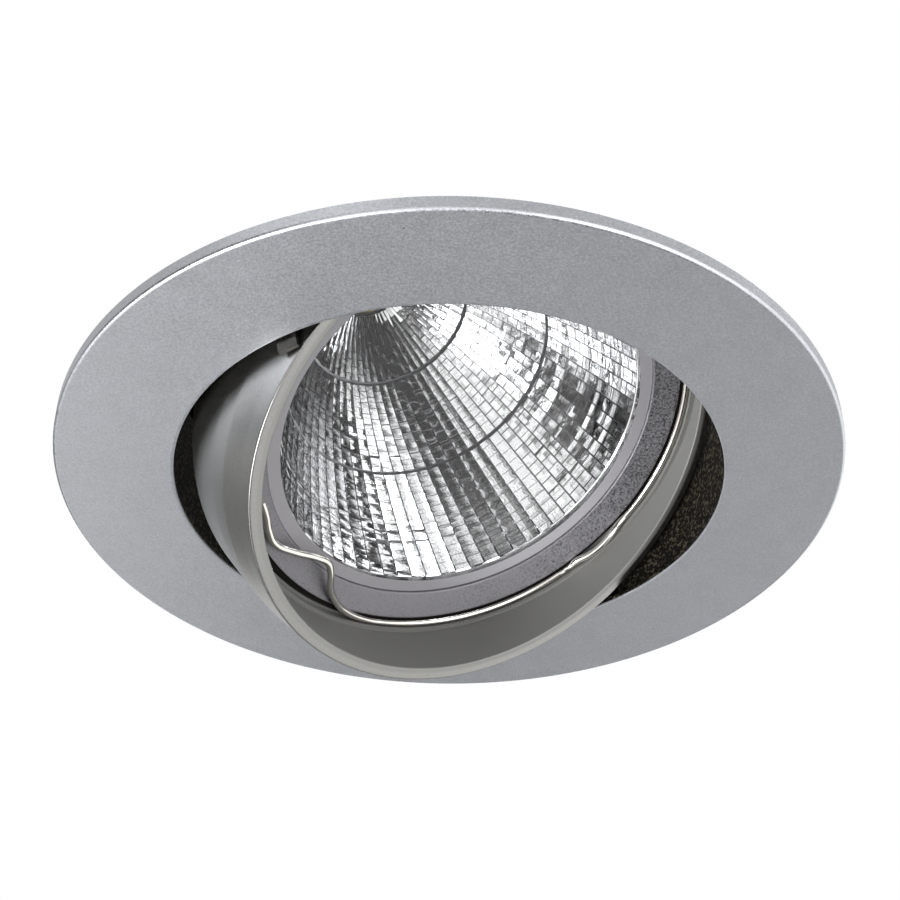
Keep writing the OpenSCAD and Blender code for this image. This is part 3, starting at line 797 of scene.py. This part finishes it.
class DOWNLIGHT_OT_bezel(bpy.types.Operator):
    """The lamp's bezel in a fine metallic coat, and its front glass"""

    bl_idname = "downlight.bezel"
    bl_label = "Bezel and glass"

    def execute(self, context):
        s = context.scene.downlight_lamp
        out, window, slope, step, step_z, deep, glass, glass_z, glass_t, mouth = in_mm(
            s, "bezel_r", "window_r", "bezel_in", "step_r", "step_z", "seat_z", "glass_r",
            "glass_z", "glass_t", "mouth_r",
        )
        around = glass + 0.1
        bm = bmesh.new()
        revolve(bm, held([
            (window, slope), (step, 0), (step, step_z), (out, step_z), (out, deep), (around, deep),
            (around, glass_z), (window, glass_z),
        ], 0.25), STEPS_ROUND)
        round_rings(bm, [(window, slope, 0.12), (step, 0, 0.12), (out, step_z, 0.1)], 3)
        # The coat paints a shadow line in the step.
        coat = metal("Bezel coat", s.finish, 0.58, grain=2.2, scale=4200, bump=0.015,
                     place=lamp_frame(), shade=painted_step_shadow)
        piece("lamp_bezel_ring", bm, lamp_frame(), "cup", [coat], ["lamp_bezel"])
        bm = bmesh.new()
        made = bmesh.ops.create_cone(
            bm, cap_ends=True, segments=192, radius1=glass * MM, radius2=glass * MM,
            depth=glass_t * MM,
        )
        bmesh.ops.translate(bm, vec=(0, 0, (glass_z + glass_t / 2) * MM), verts=made["verts"])
        bm.faces.ensure_lookup_table()
        front = min(bm.faces, key=lambda face: face.calc_center_median().z)
        border = bmesh.ops.inset_region(
            bm, faces=[front], thickness=(glass - mouth) * MM, use_even_offset=True
        )
        for face in border["faces"]:
            face.material_index = 1
        edge = plastic("Glass border", s.border_colour, 0.4, scale=4000, bump=0.003)
        piece("front_glass", bm, lamp_frame(), "cup", [glass_material(), edge],
              ["lamp_glass"])
        return {"FINISHED"}


class Dish:
    """The reflector's curve and its staggered facets, in millimetres from the lamp's face."""

    groove_half = 0.2
    rings = 4  # in each row of facets
    seam = 1e-3  # between the two rings where half rows meet
    spots = (0, 0.05, 0.36, 0.64, 0.95)  # where a column is cut, as parts of its width

    def __init__(self, settings):
        self.mouth, self.start, self.depth, end, outer, inner, self.bulge = in_mm(
            settings, "mouth_r", "mouth_z", "dish_depth", "dish_end", "groove_a", "groove_b",
            "bulge",
        )
        self.focus = self.start + self.depth
        self.slope = math.tan(settings.tilt)
        self.columns = settings.columns
        self.pitch = math.tau / self.columns
        self.end, self.grooves, half = end, (outer, inner), self.groove_half
        self.zones = [
            (self.start, outer - half, settings.rows),
            (outer + half, inner - half, settings.rows - 2),
            (inner + half, end, 4),
        ]

    def radius(self, z):
        """The dish's radius at a depth."""
        return self.mouth * math.sqrt((self.focus - z) / self.depth)

    def outline(self):
        """The dish's inside as (radius, depth), from its mouth, with both grooves."""
        face = []
        for low, high, rows in self.zones:
            for k in range(rows * self.rings + 1):
                z = low + (high - low) * k / (rows * self.rings)
                if k and k % (self.rings // 2) == 0:
                    face.append((self.radius(z - self.seam), z - self.seam))
                if k < rows * self.rings:
                    face.append((self.radius(z), z))
        for groove in self.grooves:
            at = next(i for i, point in enumerate(face) if point[1] > groove)
            floor = self.radius(groove) + 0.35
            face[at:at] = [(floor, groove - 0.14), (floor, groove + 0.14)]
        return face

    def in_groove(self, across, z):
        """Whether a point lies in one of the two grooves."""
        return any(
            abs(z - groove) < self.groove_half - 0.01 and across < self.radius(groove) + 0.4
            for groove in self.grooves
        )

    def cell(self, co):
        """(zone, column, place across, rows from the mouth); odd columns start half a row early."""
        turn = math.atan2(co.y, co.x) / self.pitch + 1e-6
        z = co.z / MM
        zone = next((zone for zone in self.zones if zone[0] - 1e-4 <= z <= zone[1] + 1e-4), None)
        if zone is None:
            return None, 0, 0, 0
        column = math.floor(turn)
        rows = (z - zone[0]) / (zone[1] - zone[0]) * zone[2] + 2e-4
        return zone, column, turn - column, rows + column % 2 / 2

    def inwards(self, co):
        """How far a facet's point moves in: (part of the radius, millimetres)."""
        zone, column, u, rows = self.cell(co)
        if zone is None:
            return 0.0, 0.0
        v = rows % 1
        chord = 1 - math.cos(self.pitch / 2) / math.cos((u - 0.5) * self.pitch)
        chance = math.sin(37.0 * int(rows) + 91.7 * (column % self.columns)) * 43.0
        swell = (0.6 + 0.8 * (chance % 1)) * self.bulge
        swell = swell * (1 - (2 * v - 1) ** 2) * (1 - (2 * u - 1) ** 2)
        height = (zone[1] - zone[0]) / zone[2]
        lean = height * self.slope / 2 * (1 - 2 * v) * (0.01 < u < 0.99)
        return chord, swell - lean

    def shift(self, bm, face):
        """Cuts the columns at their spots and moves the facets in from the smooth dish."""
        shape = {(round(z, 4), round(r, 4)) for r, z in face}
        for vert in bm.verts:
            r, z = math.hypot(vert.co.x, vert.co.y) / MM, vert.co.z / MM
            turn = math.atan2(vert.co.y, vert.co.x) / self.pitch + 1e-3
            place = (math.floor(turn) + self.spots[int(turn % 1 * len(self.spots))]) * self.pitch
            vert.co.x, vert.co.y = r * MM * math.cos(place), r * MM * math.sin(place)
            if (round(z, 4), round(r, 4)) in shape:
                chord, rise = self.inwards(vert.co)
                vert.co.x *= 1 - chord - rise / r
                vert.co.y *= 1 - chord - rise / r

    def unwrap(self, bm):
        """Gives each facet its own unit square on the UV map that the metal reads."""
        places = bm.loops.layers.uv.new("facet")
        for flat in bm.faces:
            zone, column, u, rows = self.cell(flat.calc_center_median())
            for loop in flat.loops:
                across = along = 0.5
                if zone and flat.material_index == 0:
                    co = loop.vert.co
                    across = (math.atan2(co.y, co.x) / self.pitch - column) % self.columns
                    across = across if across < 2 else 0.0
                    at = (co.z / MM - zone[0]) / (zone[1] - zone[0]) * zone[2]
                    along = at + column % 2 / 2 - math.floor(rows)
                loop[places].uv = (min(across, 1.0), min(max(along, 0.0), 1.0))

    def corner(self, co):
        """Whether a point lies on a facet's border."""
        near = 2e-3
        zone, column, u, rows = self.cell(co)
        if zone is None:
            return False
        ends = min(abs(co.z / MM - zone[0]), abs(co.z / MM - zone[1])) < near
        return min(u, 1 - u) < 0.1 or ends or abs(rows - round(rows)) < near


class DOWNLIGHT_OT_reflector(bpy.types.Operator):
    """Bright dish of swelling facets in columns, with two grooves, and the light source behind"""

    bl_idname = "downlight.reflector"
    bl_label = "Reflector"

    def execute(self, context):
        s = context.scene.downlight_lamp
        glass, glass_z, glass_t = in_mm(s, "glass_r", "glass_z", "glass_t")
        dish = Dish(s)
        face = dish.outline()
        behind, mouth = glass_z + glass_t, dish.mouth + 0.1
        back = [
            (dish.radius(z) + 0.8, z + 0.3)
            for z in (dish.end - 0.4, 27, 22, 17, 11, 6, dish.start + 0.5)
        ]
        rim = [(glass - 0.1, 3.0), (glass - 0.1, behind), (mouth, behind)]
        bm = bmesh.new()
        revolve(bm, face + back + rim, dish.columns * len(dish.spots))
        for flat in bm.faces:
            middle = flat.calc_center_median() / MM
            across = math.hypot(middle.x, middle.y)
            if across > mouth and middle.z < dish.start:
                flat.material_index = 1
            elif dish.in_groove(across, middle.z):
                flat.material_index = 2
        dish.shift(bm, face)
        dish.unwrap(bm)
        chrome = facet_metal("Reflector metal", (0.94, 0.94, 0.95), 0.06)
        # Painted light: the band is made near white under the glass.
        band = plastic("Mouth band", s.band_lightened_colour, 0.4, scale=4000, bump=0.003)
        # The grooves' darker metal is painted shade.
        dull = metal("Groove shade", (0.4, 0.4, 0.42), 0.4, grain=0.1, scale=2000, bump=0.001)
        piece("faceted_dish", bm, lamp_frame(), "cup", [chrome, band, dull],
              ["reflector"], corner=dish.corner)
        phosphor = plastic("Phosphor", (0.4, 0.31, 0.08), 0.5)
        board = plastic("White board", (0.2, 0.2, 0.21), 0.5)
        dressed("led_emitter", "light_source", phosphor, 0.05)
        dressed("led_board", "source_board", board, 0.05)
        return {"FINISHED"}


class DOWNLIGHT_OT_lamp_body(bpy.types.Operator):
    """Ribbed housing, driver board, plastic base and the two pins of the lamp"""

    bl_idname = "downlight.lamp_body"
    bl_label = "Lamp body"

    def execute(self, context):
        alloy = metal("Housing metal", (0.55, 0.56, 0.58), 0.38, grain=0.25, scale=1400, bump=0.01)
        green = plastic("Board green", (0.02, 0.16, 0.06), 0.4)
        white = plastic("Lamp plastic", (0.55, 0.55, 0.53), 0.38)
        pin = metal("Pin metal", (0.68, 0.66, 0.62), 0.22, grain=0.1, bump=0.002)
        dressed("lamp_housing", "ribbed_housing", alloy, 0.1)
        dressed("driver_board", "driver", green, 0.05)
        dressed("lamp_base", "plastic_base", white, 0.15)
        dressed("lamp_pins", "base_pins", pin, 0.15)
        return {"FINISHED"}


class DOWNLIGHT_OT_lampholder(bpy.types.Operator):
    """Ceramic lampholder with its sprung contacts, cap and screws"""

    bl_idname = "downlight.lampholder"
    bl_label = "Lampholder"

    def execute(self, context):
        ceramic = plastic("Glazed ceramic", (0.58, 0.53, 0.44), 0.3, scale=500, bump=0.01)
        brass = metal("Contact brass", (0.75, 0.55, 0.25), 0.3, grain=0.15, scale=1400)
        zinc = metal("Holder screw", (0.6, 0.61, 0.63), 0.3, grain=0.2)
        dressed("holder_body", "ceramic_body", ceramic, 0.25)
        dressed("holder_contacts", "contacts", brass, 0.04)
        dressed("holder_cap", "ceramic_cap", ceramic, 0.25)
        dressed("holder_screws", "cap_screws", zinc, 0.1)
        return {"FINISHED"}


# Stage


# Soft panels of the room: direction, the dot products at edge and full, brightness.
WORLD_PANELS = [
    ((-1, 0, 0), 0.0, 0.34, 1.15),
    ((1, 0, 0), 0.38, 0.62, 1.35),
    ((0, -1, 0), 0.45, 0.82, 1.05),
    ((-0.4, -0.5, -0.76), 0.84, 0.97, 0.45),
    ((0, 0.85, -0.5), 0.8, 0.97, 0.6),
    ((-0.35, 0.8, -0.5), 0.86, 0.98, -0.6),
    ((-0.95, -0.35, 0.1), 0.72, 0.92, -1.1),
    ((-0.8, -0.6, 0.1), 0.55, 0.88, -1.1),
    ((-0.72, 0.69, 0), 0.82, 0.97, -1.0),
]


def area_light(name, where, size, power, towards=(0, 0, 0)):
    """A round soft light that the camera doesn't see."""
    lamp = bpy.data.lights.new(name, "AREA")
    lamp.shape = "DISK"
    lamp.size = size
    lamp.energy = power
    made = placed(name, lamp)
    made.location = where
    aim = Vector(towards) - Vector(where)
    made.rotation_euler = aim.to_track_quat("-Z", "Y").to_euler()
    made.visible_camera = False


def picked(w, end, amount, first, second):
    """Joins an output node to a mix of two shaders."""
    pick = w.node("MixShader")
    w.join(w.give(pick, {0: amount, 1: first, 2: second}), end.inputs["Surface"])


def studio_world(floor, ceiling):
    """White to the camera; elsewhere a dim room with soft panels below the ceiling."""
    world, w = fresh(bpy.data.worlds.new("Studio"))
    end = w.node("OutputWorld")
    way = w.node("TexCoord").outputs["Generated"]
    below = floor
    for direction, edge, full, bright in WORLD_PANELS:
        dot = w.node("VectorMath", operation="DOT_PRODUCT")
        w.give(dot, {0: way, 1: Vector(direction).normalized()})
        below = w.math("ADD", below, w.between(dot.outputs["Value"], edge, full, 0.0, bright))
    low, high = 0.25, 0.5  # heights between which the room above takes over
    light = w.between(w.parts(way)[2], low, high, w.math("MAXIMUM", below, 0.0), ceiling)
    room, backdrop = w.node("Background"), w.node("Background")
    picked(
        w, end, w.node("LightPath").outputs["Is Camera Ray"],
        w.give(room, {"Color": (1.0, 0.99, 0.98, 1), "Strength": light}),
        w.give(backdrop, {"Color": (1, 1, 1, 1)}),
    )
    bpy.context.scene.world = world


def one_way(name, strength, first_only):
    """Emits from the front and is clear from behind; first_only: also behind a clear face."""
    material, w = fresh(bpy.data.materials.new(name))
    plain, clear = w.node("Emission"), w.node("BsdfTransparent")
    away = w.node("NewGeometry").outputs["Backfacing"]
    if first_only:
        passed = w.node("LightPath").outputs["Transparent Depth"]
        away = w.math("MAXIMUM", away, w.math("MINIMUM", passed, 1.0))
    end = w.node("OutputMaterial")
    picked(w, end, away, w.give(plain, {"Strength": strength}), clear.outputs[0])
    return material


def stage_piece(name, bm, material):
    """Puts a finished bmesh into the scene as part of the stage."""
    made = placed(name, mesh_of(name, bm, [material]))
    return made


def backcloth(name, bm, lift, turned, material):
    """A stage piece that only the camera sees, lift millimetres up, with turned faces flipped."""
    bmesh.ops.translate(bm, vec=(0, 0, lift * MM), verts=bm.verts[:])
    bm.normal_update()
    for face in bm.faces:
        if turned(face):
            face.normal_flip()
    made = stage_piece(name, bm, material)
    made.visible_diffuse = made.visible_glossy = False
    made.visible_shadow = made.visible_transmission = False


def ceiling_card(radius):
    """White card at the ceiling's underside, seen only from below, with the cut-out in it."""
    bm = bmesh.new()
    made = bmesh.ops.create_circle(bm, cap_ends=False, segments=128, radius=radius)
    rim = list({e for v in made["verts"] for e in v.link_edges})
    wide = bmesh.ops.extrude_edge_only(bm, edges=rim)
    outer = [v for v in wide["geom"] if isinstance(v, bmesh.types.BMVert)]
    bmesh.ops.scale(bm, vec=(60, 60, 1), verts=outer)
    white = one_way("Ceiling card", 1.0, first_only=False)
    backcloth("ceiling_card", bm, 0.2, lambda face: face.normal.z > 0, white)


def void_shade_dome():
    """Painted shade for the dark void seen through the gap round the cup: a black dome that is
    clear from outside.
    """
    bm = bmesh.new()
    bmesh.ops.create_uvsphere(bm, u_segments=48, v_segments=24, radius=0.1)
    lower = [v for v in bm.verts if v.co.z < -1e-4]
    bmesh.ops.delete(bm, geom=lower, context="VERTS")
    black = one_way("Dark void", 0.0, first_only=True)
    backcloth(
        "void_shade_dome", bm, 0.3,
        lambda face: face.normal.dot(face.calc_center_median()) > 0, black,
    )


class DOWNLIGHT_OT_stage(bpy.types.Operator):
    """Camera below the ceiling, pale floor, ceiling card, soft lights"""

    bl_idname = "downlight.stage"
    bl_label = "Stage"

    def execute(self, context):
        s = context.scene.downlight_stage
        back = Vector((0, -math.cos(s.below), -math.sin(s.below)))
        right = Vector((1, 0, 0))
        up = back.cross(right)
        cos, sin = math.cos(s.roll), math.sin(s.roll)
        right, up = cos * right + sin * up, cos * up - sin * right
        ahead = (-back + math.tan(s.aim_across) * right + math.tan(s.aim_up) * up).normalized()
        across = ahead.cross(up).normalized()
        turn = Matrix((across, across.cross(ahead), -ahead)).transposed().to_4x4()
        lens = bpy.data.cameras.new("Camera")
        lens.lens = s.lens
        lens.sensor_width = 36
        lens.clip_start = 0.01
        camera = placed("Camera", lens)
        camera.matrix_world = Matrix.Translation(s.distance * back) @ turn
        context.scene.camera = camera
        context.scene.view_settings.view_transform = "Standard"
        ceiling_card(radius=0.0392)
        void_shade_dome()
        bm = bmesh.new()
        bmesh.ops.create_grid(bm, x_segments=1, y_segments=1, size=2.0)
        bmesh.ops.translate(bm, vec=(0, 0, -0.6), verts=bm.verts[:])
        matt = plastic("Pale floor", (0.8, 0.8, 0.79), 0.6, scale=20)
        floor = stage_piece("pale_floor", bm, matt)
        floor.visible_glossy = floor.visible_transmission = False
        studio_world(floor=0.03, ceiling=0.6)
        area_light("Key", (-0.32, -0.12, -0.4), 0.22, s.key)
        area_light("Fill", (0.3, -0.3, -0.3), 0.3, s.fill)
        area_light("Back left", (-0.2, -0.12, 0.6), 0.35, s.top, towards=(0, 0, 0.03))
        area_light("Back right", (0.25, 0.2, 0.55), 0.35, s.top, towards=(0, 0, 0.03))
        return {"FINISHED"}


# Panel and run


OPERATORS = (
    DOWNLIGHT_OT_stage, DOWNLIGHT_OT_trim_ring, DOWNLIGHT_OT_brackets,
    DOWNLIGHT_OT_mounting_springs, DOWNLIGHT_OT_cup, DOWNLIGHT_OT_pivots, DOWNLIGHT_OT_wire_clip,
    DOWNLIGHT_OT_bezel, DOWNLIGHT_OT_reflector, DOWNLIGHT_OT_lamp_body, DOWNLIGHT_OT_lampholder,
)
STEPS = [made.bl_idname.split(".")[1] for made in OPERATORS]
GROUPS = (
    ("downlight_trim", DownlightTrim), ("downlight_cup", DownlightCup),
    ("downlight_lamp", DownlightLamp), ("downlight_clip", DownlightClip),
    ("downlight_springs", DownlightSprings), ("downlight_stage", DownlightStage),
)


class VIEW3D_PT_downlight(bpy.types.Panel):
    """Sizes, colours and steps of the soffit downlight"""

    bl_idname = "VIEW3D_PT_downlight"
    bl_label = "Soffit downlight"
    bl_space_type = "VIEW_3D"
    bl_region_type = "UI"
    bl_category = "Downlight"

    def draw(self, context):
        for step in STEPS:
            self.layout.operator(f"downlight.{step}")
        for name, group in GROUPS:
            box = self.layout.box()
            for key in group.__annotations__:
                box.prop(getattr(context.scene, name), key)


CLASSES = (*[group for name, group in GROUPS], *OPERATORS, VIEW3D_PT_downlight)


def register():
    """Registers the settings, the steps and the panel."""
    for made in CLASSES:
        bpy.utils.register_class(made)
    for name, group in GROUPS:
        setattr(bpy.types.Scene, name, bpy.props.PointerProperty(type=group))


def unregister():
    """Takes back what register() did."""
    for name, group in GROUPS:
        delattr(bpy.types.Scene, name)
    for made in reversed(CLASSES):
        bpy.utils.unregister_class(made)


def main():
    """Builds every step in order."""
    register()
    for step in STEPS:
        getattr(bpy.ops.downlight, step)()


if __name__ == "__main__":
    main()
